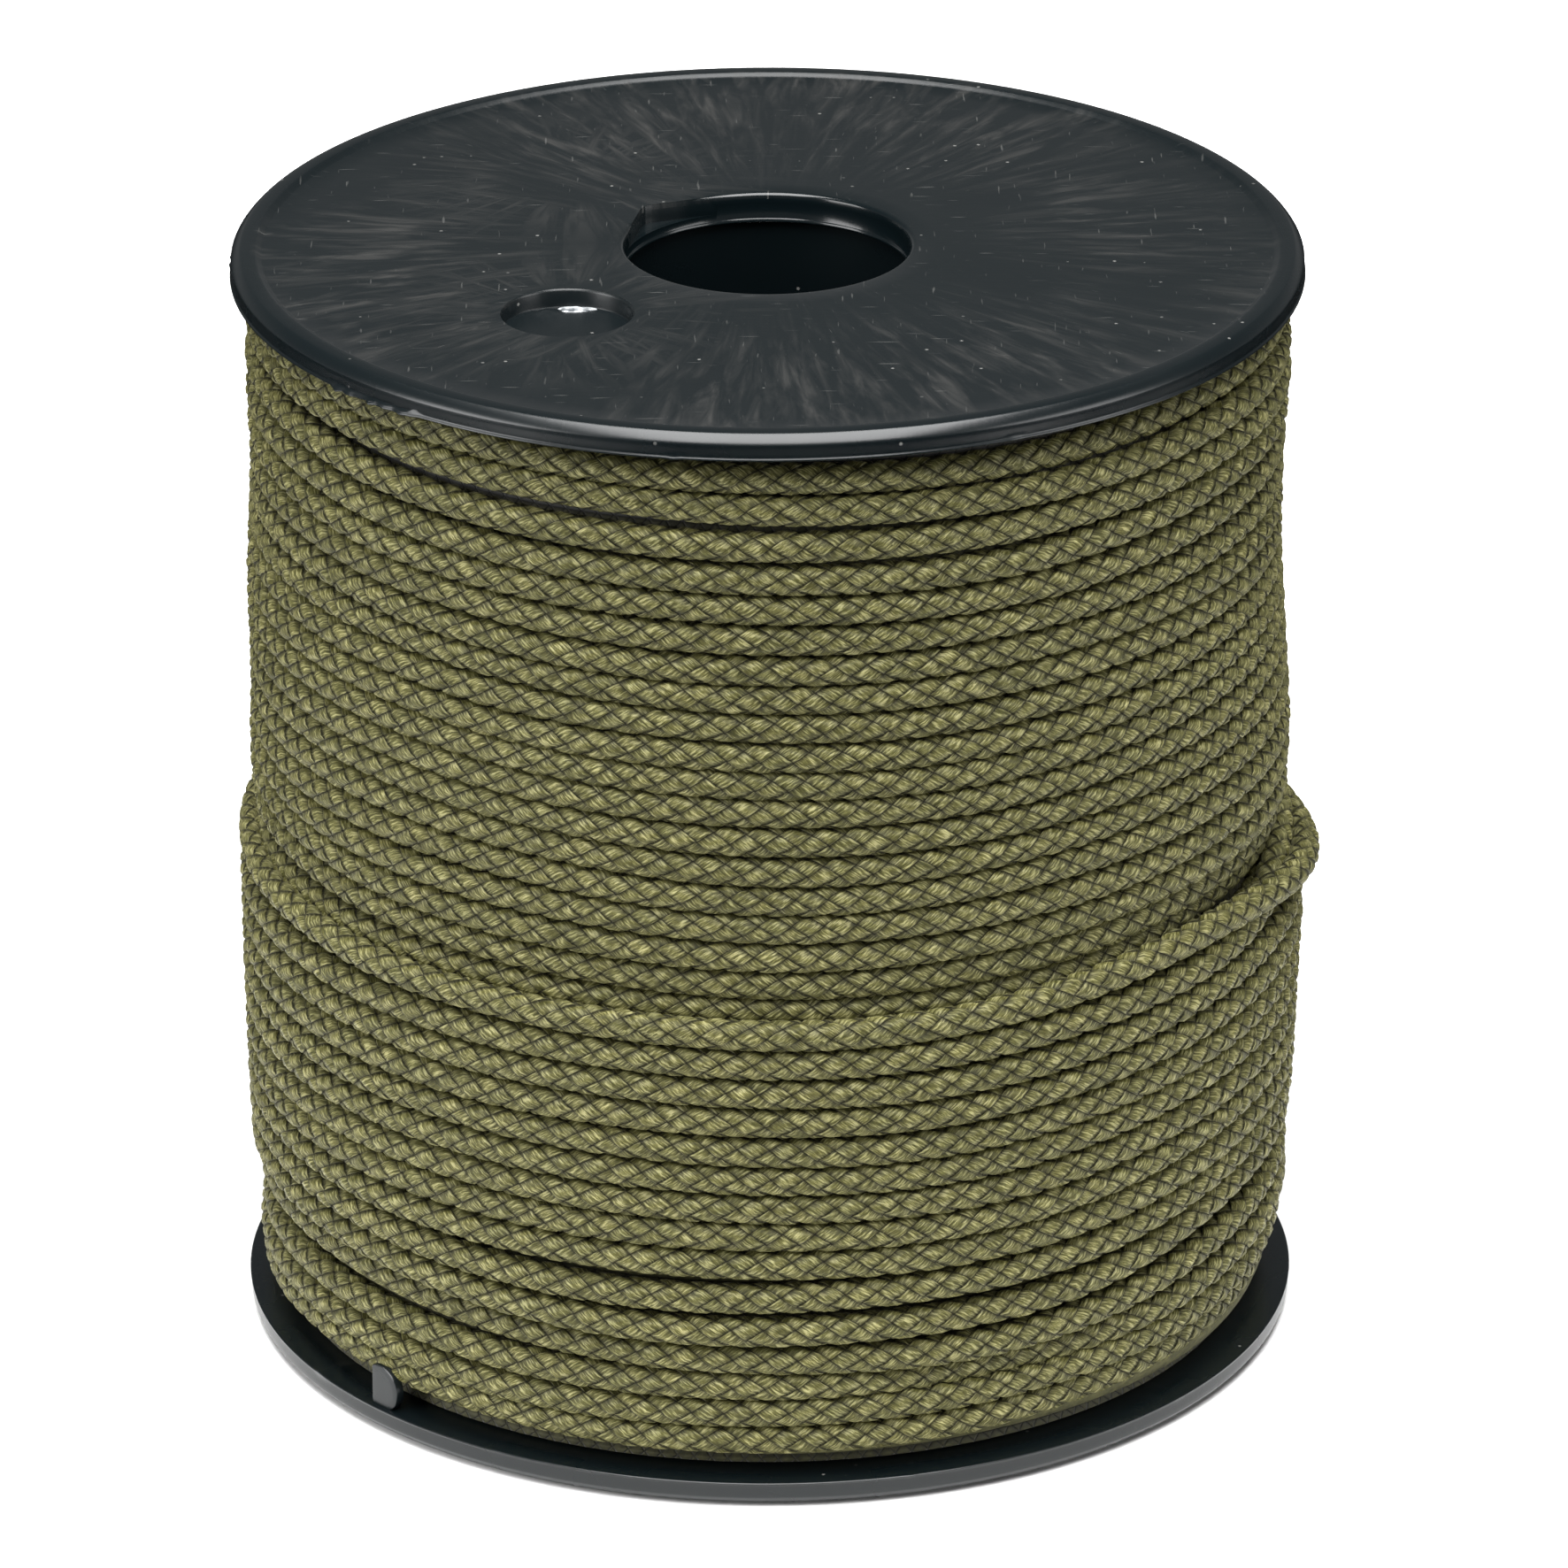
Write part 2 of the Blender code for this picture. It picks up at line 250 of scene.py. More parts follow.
# Both ends are hidden: the line rises out of the layer below, and at its end tucks under its neighbours.
distance -= RISE_DEPTH * (1.0 - smooth_step(theta, RISE_START, RISE_END))
distance -= TUCK_DEPTH * smooth_step(theta, TUCK_START, TUCK_END)

route = np.stack([distance * np.sin(azimuth), -distance * np.cos(azimuth), height], axis=1)
along = np.concatenate([[0.0], np.cumsum(np.linalg.norm(np.diff(route, axis=0), axis=1))])
print("the cord that shows, and what it hides of its own layer:", round(along[-1] / 1000, 2), "m")

# %% [markdown]
# Along the line each place needs its own directions: forwards, outwards from the spool, and sideways. Outwards
# is the direction away from the axis, made square to forwards.

# %% Directions along the line
forwards = np.gradient(route, along, axis=0)
forwards /= np.linalg.norm(forwards, axis=1)[:, None]
outwards = np.stack([np.sin(azimuth), -np.cos(azimuth), np.zeros_like(azimuth)], axis=1)
outwards -= (outwards * forwards).sum(1)[:, None] * forwards
outwards /= np.linalg.norm(outwards, axis=1)[:, None]
sideways = np.cross(forwards, outwards)


def at(lengths, table):
    """The table's columns read at these lengths along the cord."""
    return np.stack([np.interp(lengths, along, table[:, k]) for k in range(table.shape[1])], axis=-1)


def new_piece(name, points, faces, material, smooth=True):
    """A mesh from points in mm and a list of face arrays, each with three or four corners a row."""
    sizes = np.concatenate([np.full(len(some), some.shape[1]) for some in faces])
    corners = np.concatenate([some.ravel() for some in faces])
    mesh = bpy.data.meshes.new(name)
    mesh.vertices.add(len(points))
    mesh.vertices.foreach_set("co", (np.asarray(points) * MM).astype(np.float32).ravel())
    mesh.loops.add(len(corners))
    mesh.loops.foreach_set("vertex_index", corners.astype(np.int32))
    mesh.polygons.add(len(sizes))
    mesh.polygons.foreach_set("loop_start", (np.cumsum(sizes) - sizes).astype(np.int32))
    mesh.update(calc_edges=True)
    mesh.polygons.foreach_set("use_smooth", np.full(len(sizes), smooth))
    piece = bpy.data.objects.new(name, mesh)
    bpy.context.scene.collection.objects.link(piece)
    mesh.materials.append(material)
    return piece


def six_volumes(points, faces):
    """Six times the volume between the origin and these triangles: the sum of a . (b x c)."""
    a, b, c = (points[faces[:, n]] for n in (0, 1, 2))
    return np.einsum("ij,ij->", a, np.cross(b, c))


def skin(rings, looped=False):
    """Points and faces of a surface through rings: quads between neighbours, then a fan over each open end.

    Looped joins the last ring to the first instead, for a solid turned about an axis. The faces are turned
    outwards by the sign of the volume.
    """
    count, around = rings.shape[:2]
    i = np.arange(count if looped else count - 1)[:, None] * around
    j = np.arange(around)[None, :]
    k = (j + 1) % around
    next_ring = (i + around) % (count * around)
    walls = np.stack([i + j, i + k, next_ring + k, next_ring + j], axis=-1).reshape(-1, 4)
    points = rings.reshape(-1, 3)
    volume = six_volumes(points, walls[:, :3]) + six_volumes(points, walls[:, [0, 2, 3]])
    faces = [walls]
    if not looped:
        ends = rings[[0, -1]].mean(axis=1)
        points = np.concatenate([points, ends])
        j, k = j[0], k[0]
        last = (count - 1) * around
        low = np.stack([np.full(around, count * around), k, j], axis=1)
        high = np.stack([np.full(around, count * around + 1), last + j, last + k], axis=1)
        faces += [low, high]
        volume += six_volumes(points, low) + six_volumes(points, high)
    if volume < 0:
        faces = [some[:, ::-1] for some in faces]
    return points, faces


# %% [markdown]
# ## The cord's finish
# The yarn is olive. Its filaments lie along each strand, so the noise that tints and roughens it is stretched
# along the strand; its palest streaks are partly the yarn's own tone and partly painted sheen. The strand's own
# UV map is in millimetres: U across the strand and V along it. A second map runs from 0 to 1 over each visible
# float. Its ends, which dive under the neighbours, get painted shade, and its sides, which lie on top of them,
# only a thin line of painted shade. That is what makes it look woven.

# %% Helpers for materials
def new_material(name):
    """A Principled material, with its tree and its shader."""
    material = bpy.data.materials.new(name)
    material.use_nodes = True
    return material, material.node_tree, material.node_tree.nodes["Principled BSDF"]


def node(tree, kind, **settings):
    """A node with its inputs or its settings given by name."""
    made = tree.nodes.new(kind)
    for key, value in settings.items():
        if key in made.inputs:
            made.inputs[key].default_value = value
        else:
            setattr(made, key, value)
    return made


def math_node(tree, operation, *values):
    """One sum on sockets or numbers."""
    made = tree.nodes.new("ShaderNodeMath")
    made.operation = operation
    for socket, value in zip(made.inputs, values):
        if isinstance(value, (int, float)):
            socket.default_value = value
        else:
            tree.links.new(value, socket)
    return made.outputs[0]


def times(tree, a, b):
    """Two sockets or numbers multiplied."""
    return math_node(tree, "MULTIPLY", a, b)


def added(tree, total, *parts):
    """A starting number or socket, plus each socket times its amount."""
    for value, amount in parts:
        total = math_node(tree, "MULTIPLY_ADD", value, amount, total)
    return total


def ramp(tree, value, stops):
    """A colour ramp on a value; stops are (place, colour or grey)."""
    made = tree.nodes.new("ShaderNodeValToRGB")
    tree.links.new(value, made.inputs[0])
    elements = made.color_ramp.elements
    while len(elements) < len(stops):
        elements.new(0.5)
    for element, (place, colour) in zip(elements, stops):
        element.position = place
        element.color = (*colour, 1.0) if isinstance(colour, tuple) else (colour, colour, colour, 1.0)
    return made.outputs[0]


def mix(tree, share, a, b, blend="MIX"):
    """Two colours mixed by a share."""
    made = tree.nodes.new("ShaderNodeMix")
    made.data_type = "RGBA"
    made.blend_type = blend
    for socket, value in ((made.inputs[0], share), (made.inputs[6], a), (made.inputs[7], b)):
        if isinstance(value, (int, float)):
            socket.default_value = value
        elif isinstance(value, tuple):
            socket.default_value = (*value, 1.0)
        else:
            tree.links.new(value, socket)
    return made.outputs[2]


def noise(tree, place, scale, detail=2.0, roughness=0.5, distortion=0.0):
    """A noise on a place, stretched by three scales or one."""
    if isinstance(scale, tuple):
        stretch = node(tree, "ShaderNodeMapping", Scale=scale)
        tree.links.new(place, stretch.inputs["Vector"])
        place, scale = stretch.outputs[0], 1.0
    made = node(tree, "ShaderNodeTexNoise", Scale=scale, Detail=detail, Roughness=roughness, Distortion=distortion)
    tree.links.new(place, made.inputs["Vector"])
    return made.outputs[0]


def bumped(tree, shader, height, strength, distance):
    """A bump of that strength and distance in metres on the shader."""
    raised = node(tree, "ShaderNodeBump", Strength=strength, Distance=distance)
    tree.links.new(height, raised.inputs["Height"])
    tree.links.new(raised.outputs[0], shader.inputs["Normal"])


def set_numbers(shader, numbers):
    """Numbers and colours that are the same all over, written on the shader's sockets by name."""
    for name, number in numbers.items():
        shader.inputs[name].default_value = number


# %% Olive yarn
DARK_OLIVE = (0.0255, 0.0250, 0.0058)
OLIVE = (0.064, 0.0605, 0.0185)
# The palest olive is partly the yarn's own tone and partly painted sheen on the filaments.
PALE_OLIVE_AND_SHEEN = (0.196, 0.186, 0.088)

olive_yarn, tree, shader = new_material("olive_yarn")
strand_place = node(tree, "ShaderNodeUVMap", uv_map="strand").outputs[0]
float_place = node(tree, "ShaderNodeSeparateXYZ")
tree.links.new(node(tree, "ShaderNodeUVMap", uv_map="float").outputs[0], float_place.inputs[0])
filaments = noise(tree, strand_place, (5.0, 0.7, 1.0), 3.0, 0.65)
hairs = noise(tree, strand_place, (14.0, 1.0, 1.0), 2.0, 0.5)
patches = noise(tree, strand_place, (0.9, 0.25, 1.0))
from_side, from_end = (math_node(tree, "PINGPONG", float_place.outputs[n], 0.5) for n in (0, 1))
# Painted shade: each float darkens towards its ends, where it dives under its neighbours, and in a thin line along
# its sides; the same mask also deepens the bump.
side_shadow = ramp(tree, from_side, [(0.0, 0.40), (0.03, 0.80), (0.12, 1.0)])
end_shadow = ramp(tree, from_end, [(0.0, 0.06), (0.04, 0.22), (0.11, 0.62), (0.22, 0.92), (0.34, 1.05)])
crevice_shade_and_depth = times(tree, side_shadow, end_shadow)
shade = node(tree, "ShaderNodeAttribute", attribute_name="shade").outputs["Fac"]
# Streaks along the filaments: the dark and mid tones are the yarn's own, the pale ones partly painted sheen.
filament_streaks_and_sheen = ramp(tree, filaments, [(0.36, DARK_OLIVE), (0.50, OLIVE), (0.64, PALE_OLIVE_AND_SHEEN)])
blotches = ramp(tree, patches, [(0.3, 0.84), (0.7, 1.16)])
threads = ramp(tree, hairs, [(0.3, 0.86), (0.7, 1.10)])
own_shade = ramp(tree, shade, [(0.0, (0.76, 0.78, 0.74)), (1.0, (1.24, 1.22, 1.20))])
colour = filament_streaks_and_sheen
for tint in (blotches, threads, own_shade, crevice_shade_and_depth):
    colour = mix(tree, 1.0, colour, tint, "MULTIPLY")
tree.links.new(colour, shader.inputs["Base Color"])
in_crevice = ramp(tree, from_end, [(0.03, 1.0), (0.12, 0.0)])
gloss = ramp(tree, filaments, [(0.3, 0.62), (0.7, 0.42)])
tree.links.new(math_node(tree, "MAXIMUM", gloss, in_crevice), shader.inputs["Roughness"])
set_numbers(shader, {
    "Specular IOR Level": 0.16, "Anisotropic": 0.6,
    "Sheen Weight": 0.04, "Sheen Roughness": 0.45, "Sheen Tint": (0.85, 0.82, 0.62, 1.0),
})
tangent = node(tree, "ShaderNodeTangent", direction_type="UV_MAP", uv_map="strand")
tree.links.new(tangent.outputs[0], shader.inputs["Tangent"])
relief = added(tree, 0.0, (filaments, 0.9), (hairs, 0.35), (crevice_shade_and_depth, 1.3))
bumped(tree, shader, relief, 0.8, 0.00009)

# %% [markdown]
# ## The cord's core
# Inside the braid runs a plain core. It is the whole line in one piece, so it carries the cord's real length.
# It is a tube: a small circle carried along the route.

# %% Make the core
CORE_RADIUS = 1.22
CORE_SIDES = 8
CORE_STEP = 3.0

core_yarn, tree, shader = new_material("core_yarn")
place = node(tree, "ShaderNodeTexCoord").outputs["Object"]
fluff = noise(tree, place, 1400.0, 3.0)
tree.links.new(ramp(tree, fluff, [(0.3, DARK_OLIVE), (0.7, OLIVE)]), shader.inputs["Base Color"])
set_numbers(shader, {"Roughness": 0.85})
bumped(tree, shader, fluff, 0.6, 0.0001)


def carried_circle(line, out, across, radius, sides):
    """Rings of a tube: point = line + radius times (cos a out + sin a across)."""
    a = np.linspace(0, 2 * np.pi, sides, endpoint=False)[:, None]
    radius = np.reshape(radius, (-1, 1, 1))
    return line[:, None] + radius * (np.cos(a) * out[:, None] + np.sin(a) * across[:, None])


core_at = np.linspace(0.0, along[-1], int(along[-1] / CORE_STEP) + 1)
core_line = at(core_at, route)
rings = carried_circle(core_line, at(core_at, outwards), at(core_at, sideways), CORE_RADIUS, CORE_SIDES)
core = new_piece("cord_core", *skin(rings), core_yarn)
print("core:", len(core.data.polygons), "faces,", round(along[-1] / 1000, 2), "m")

# %% [markdown]
# ## The braid
# Eight strands go round the cord, four each way, one over and one under. Where two cross, only the upper one
# shows, as a lozenge. The grid follows the strands: its two families of lines are the strands' edges, so every
# crevice falls on a grid line and stays sharp with few points. With u counted across the strands of one hand and
# v across those of the other, the angle round the cord is 45 degrees times (u + v), and the length along it is
# the crossing distance times (v - u). Where v - u is even in whole cells the right-hand strand is on top, and
# where it is odd the left-hand one.

# %% Sizes of the braid, in mm
STRANDS = 4
CELL_ANGLE = math.radians(180.0 / STRANDS)
CROSSING = 1.523
CELL = 5
WITHIN_CELL = np.array([0.0, 0.08, 0.34, 0.66, 0.92])
CREVICE_RADIUS = 1.25
TOP_RADIUS = 1.56
HEIGHT_ACROSS = ([0.0, 0.08, 0.34, 0.66, 0.92, 1.0], [0.62, 0.86, 1.0, 1.0, 0.86, 0.62])
HEIGHT_ALONG = ([0.0, 0.08, 0.34, 0.66, 0.92, 1.0], [0.62, 0.05, 0.92, 0.92, 0.05, 0.62])
STRAND_WIDTH = 1.86
STRAND_CELL = 1.925
UV_STRAND_GAP = 11.0
TWIST_EVERY = 110.0
twist_knots = np.cumsum(rng.normal(0.0, 0.26, int(along[-1] / TWIST_EVERY) + 3))
twist_at = np.arange(len(twist_knots)) * TWIST_EVERY
strand_shade = rng.uniform(0.35, 0.65, 2 * STRANDS)


def shuffled(*numbers):
    """A repeatable number from 0 to 1 for whole numbers, from the fraction of a large sine."""
    total = sum(n * f for n, f in zip(numbers, (12.9898, 78.233, 37.719)))
    return np.abs(np.sin(total) * 43758.5453) % 1.0


def cell_place(count):
    """Whole cell and place within it, for a count of grid lines."""
    return count // CELL, WITHIN_CELL[count % CELL]


def braid_points(a, b):
    """Points of the sheath at grid lines a and b of the two hands.

    A float's height is its height across, times its height along: it stays high up to its sides, which lie over
    the neighbours' ends, and drops just before its own ends, which dive beneath.
    """
    (cell_u, part_u), (cell_v, part_v) = cell_place(a), cell_place(b)
    right_on_top = (cell_v - cell_u) % 2 == 0
    across = np.where(right_on_top, part_u, part_v)
    lengthwise = np.where(right_on_top, part_v, part_u)
    strand = np.where(right_on_top, cell_u % STRANDS, STRANDS + cell_v % STRANDS)
    lift = np.interp(across, *HEIGHT_ACROSS) * np.interp(lengthwise, *HEIGHT_ALONG)
    lift *= 1.0 + 0.22 * (shuffled(strand, cell_v - cell_u) - 0.5)
    length = CROSSING * (cell_v + part_v - cell_u - part_u)
    angle = CELL_ANGLE * (cell_u + part_u + cell_v + part_v) + np.interp(length, twist_at, twist_knots)
    radius = CREVICE_RADIUS + (TOP_RADIUS - CREVICE_RADIUS) * lift
    length = np.clip(length, 0.0, along[-1])
    cos, sin = np.cos(angle)[..., None], np.sin(angle)[..., None]
    return at(length, route) + radius[..., None] * (cos * at(length, outwards) + sin * at(length, sideways))


def braid_maps(a, b):
    """The float's own 0 to 1 map, the strand's map in mm, and the float's shade, for each face's corners."""
    corner_u = a[..., None] + np.array([0, 1, 1, 0])
    corner_v = b[..., None] + np.array([0, 0, 1, 1])
    cell_u, cell_v = (a // CELL)[..., None], (b // CELL)[..., None]
    part_u = sum(cell_place(corner_u)) - cell_u
    part_v = sum(cell_place(corner_v)) - cell_v
    top = (cell_v - cell_u) % 2 == 0
    strand = np.where(top, cell_u % STRANDS, STRANDS + cell_v % STRANDS)
    across = np.where(top, part_u, part_v)
    lengthwise = np.where(top, part_v, part_u)
    whole = np.where(top, cell_v, cell_u)
    in_float = np.stack([across, lengthwise], axis=-1)
    strand_u = across * STRAND_WIDTH + UV_STRAND_GAP * strand
    on_strand = np.stack([strand_u, (lengthwise + whole) * STRAND_CELL], axis=-1)
    shades = strand_shade[strand[..., 0]] + 0.5 * (shuffled(strand[..., 0], (cell_v - cell_u)[..., 0], 3) - 0.5)
    return in_float, on_strand, shades


# %% Lay the braid along a stretch of the line
def braid(name, start, end):
    """The braided sheath from start to end, in mm along the cord, as one closed piece.

    Its rows run round the cord and step half a face sideways each time, so a face is a lozenge of four points:
    one from the row below, two from its own row and one from the row above.
    """
    levels = np.arange(math.ceil(start / CROSSING * CELL), math.floor(end / CROSSING * CELL) + 1)
    around = STRANDS * CELL
    level = levels[:, None]
    t = 2 * np.arange(around)[None, :] + level % 2
    a, b = (t - level) // 2, (t + level) // 2
    points = braid_points(a, b).reshape(-1, 3)

    rows = len(levels)
    row = np.arange(1, rows - 1)[:, None] * around
    column = np.arange(around)[None, :]
    shifted = (column + level[1:-1] % 2) % around
    beside = (column + 1) % around
    lozenge = np.stack([row + column, row - around + shifted, row + beside, row + around + shifted], -1)
    faces = lozenge.reshape(-1, 4)

    ends = at(np.clip(levels[[0, -1]] * CROSSING / CELL, 0, along[-1]), route)
    count = len(points)

    def cap(outer, inner, middle_point):
        """Triangles from the middle point to the zigzag of the last two rows."""
        zig = np.arange(around)
        o, o_next = outer * around + zig, outer * around + (zig + 1) % around
        i = inner * around + (zig + levels[outer] % 2) % around
        centre = np.full(around, middle_point)
        return np.concatenate([np.stack([centre, i, o], 1), np.stack([centre, o_next, i], 1)])

    caps = np.concatenate([cap(0, 1, count), cap(rows - 1, rows - 2, count + 1)[:, ::-1]])
    piece = new_piece(name, np.concatenate([points, ends]), [faces, caps], olive_yarn)
    in_float, on_strand, shades = braid_maps(a[1:-1], b[1:-1])
    for map_name, values in (("strand", on_strand), ("float", in_float)):
        uv = np.zeros((len(piece.data.loops), 2), np.float32)
        uv[: faces.size] = values.reshape(-1, 2)
        piece.data.uv_layers.new(name=map_name).data.foreach_set("uv", uv.ravel())
    face_shade = np.full(len(piece.data.polygons), 0.5, np.float32)
    face_shade[: len(faces)] = shades.ravel()
    piece.data.attributes.new("shade", "FLOAT", "FACE").data.foreach_set("value", face_shade)
    return piece


def length_at(turns, place):
    """Length along the cord where it passes this azimuth on this turn."""
    return float(np.interp(360.0 * turns + place, theta, along))


# %% [markdown]
# The sheath is cut into lengths of a few turns, so that no piece grows too large. The buried turns of the full
# layer need no sheath, so there only the core runs on under the outer layer.

# %% Cover the line
SHEATH_TURNS = 4
full_end = length_at(seen_turns, 150)
outer_start = length_at(first_outer - 1, 90)
edges = [30.0, *(length_at(n, 180) for n in range(3, seen_turns - 1, SHEATH_TURNS)), full_end]
outer_edges = [outer_start, *(length_at(first_outer + n, 180) for n in (3, 7, 11)), along[-1] - 4.0]
stretches = [*zip(edges[:-1], edges[1:]), *zip(outer_edges[:-1], outer_edges[1:])]
sheath = [braid(f"cord_braid_{n:02d}", start, end) for n, (start, end) in enumerate(stretches, 1)]
print(len(sheath), "lengths of sheath,", max(2 * len(p.data.polygons) for p in sheath), "triangles in the largest,",
      sum(2 * len(p.data.polygons) for p in sheath), "in all")

for piece in [core, *sheath]:
    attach(piece, "root")
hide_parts("cord_layer_13", "cord_layer_14")

# %% [markdown]
# ## The layers beneath
# Under the last full layer lie twelve more. Only the uppermost of them can be glimpsed, between turns that lie
# apart, so it gets its turns as a screw-shaped surface: the height grows by one pitch for each turn of the axis,
# and each turn is a half round. The ones below keep their plain rings, with a finish that shows turns and braid
# by bumps and by painted shade in the grooves between the turns and in the braid's crevices.

# %% Wound cord finish and the glimpsed layer
BURIED_PITCH = 3.1
wound_cord, tree, shader = new_material("wound_cord")
place = node(tree, "ShaderNodeTexCoord").outputs["Object"]
split = node(tree, "ShaderNodeSeparateXYZ")
tree.links.new(place, split.inputs[0])
turn_angle = math_node(tree, "ARCTAN2", split.outputs[1], split.outputs[0])
climbed = times(tree, turn_angle, 1 / (2 * math.pi))
climbed = math_node(tree, "ADD", climbed, times(tree, split.outputs[2], 1000 / BURIED_PITCH))
within_turn = math_node(tree, "PINGPONG", climbed, 0.5)
# Painted shade: each turn darkens to black towards the grooves beside it; the same mask rounds the turn in the
# bump.
turn_round_and_groove_shade = ramp(tree, within_turn, [(0.0, 0.0), (0.08, 0.55), (0.25, 0.9), (0.5, 1.0)])
CELLS_ROUND = 92
one_hand = times(tree, turn_angle, CELLS_ROUND / math.pi)
lean = times(tree, climbed, 2.0)
hand_a = math_node(tree, "PINGPONG", math_node(tree, "ADD", one_hand, lean), 0.5)
hand_b = math_node(tree, "PINGPONG", math_node(tree, "SUBTRACT", one_hand, lean), 0.5)
# Painted shade: dark lines in the braid's crevices where the strands cross; the same mask gives the braid's bump.
weave_and_crevice_shade = ramp(tree, math_node(tree, "MINIMUM", hand_a, hand_b), [(0.0, 0.25), (0.10, 0.8), (0.5, 1.0)])
fluff = noise(tree, place, 1400.0, 3.0)
colour = ramp(tree, fluff, [(0.3, DARK_OLIVE), (0.7, OLIVE)])
colour = mix(tree, 1.0, colour, weave_and_crevice_shade, "MULTIPLY")
colour = mix(tree, 1.0, colour, turn_round_and_groove_shade, "MULTIPLY")
tree.links.new(colour, shader.inputs["Base Color"])
set_numbers(shader, {"Roughness": 0.75, "Sheen Weight": 0.10})
depth = added(tree, 0.0, (turn_round_and_groove_shade, 1.5), (weave_and_crevice_shade, 0.5), (fluff, 0.2))
bumped(tree, shader, depth, 0.8, 0.0004)

layer_low, layer_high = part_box("cord_layer_12")
RIDGE_DEPTH = 1.3
STEPS_ROUND = 90
STEPS_PER_TURN = 6
outer = layer_high.x / MM
low, high = layer_low.z / MM, layer_high.z / MM
turn_steps = int((high - low) / BURIED_PITCH * STEPS_PER_TURN)
rise = np.linspace(low, high, turn_steps)[:, None]
way = np.linspace(0, 2 * np.pi, STEPS_ROUND, endpoint=False)[None, :]
across_turn = 2 * ((rise / BURIED_PITCH + way / (2 * np.pi)) % 1.0) - 1
radius = outer - RIDGE_DEPTH * (1 - np.sqrt(1 - 0.98 * across_turn**2))
ridges = np.stack([radius * np.cos(way), radius * np.sin(way), rise + 0 * way], axis=-1)
inner = np.full((2, STEPS_ROUND), outer - 2.5)
back = np.stack([inner * np.cos(way), inner * np.sin(way), np.array([[high], [low]]) + 0 * way], axis=-1)
glimpsed = new_piece("cord_layer_12_wound", *skin(np.concatenate([ridges, back]), looped=True), wound_cord)
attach(glimpsed, "root")
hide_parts("cord_layer_12")
print("glimpsed layer:", turn_steps, "rings,", round((high - low) / BURIED_PITCH, 1), "turns")

# %% [markdown]
# ## Black plastic
# The flanges are moulded in black plastic. It flows out from the gate, which leaves faint streaks that run from
# the bore to the rim, and handling adds fine scratches and pale specks. The rounded edge is more polished than
# the faces, because it rubs on things.

# %% Black moulded plastic
BLACK = (0.0017, 0.0034, 0.0041)
STREAK_GREY = (0.0170, 0.0174, 0.0168)
DUST = (0.11, 0.11, 0.105)
GATE_LEFT, GATE_FROM_MIDDLE = 0.0191, 0.0188
FACE_DEPTH = 0.6


def polar_noise(tree, x, y, per_radian, per_metre, detail, distortion):
    """Noise on the angle and the distance from a point, with that distance."""
    out = math_node(tree, "SQRT", math_node(tree, "ADD", times(tree, x, x), times(tree, y, y)))
    polar = node(tree, "ShaderNodeCombineXYZ")
    tree.links.new(times(tree, math_node(tree, "ARCTAN2", y, x), per_radian), polar.inputs[0])
    tree.links.new(times(tree, out, per_metre), polar.inputs[1])
    return noise(tree, polar.outputs[0], 1.0, detail, 0.62, distortion), out


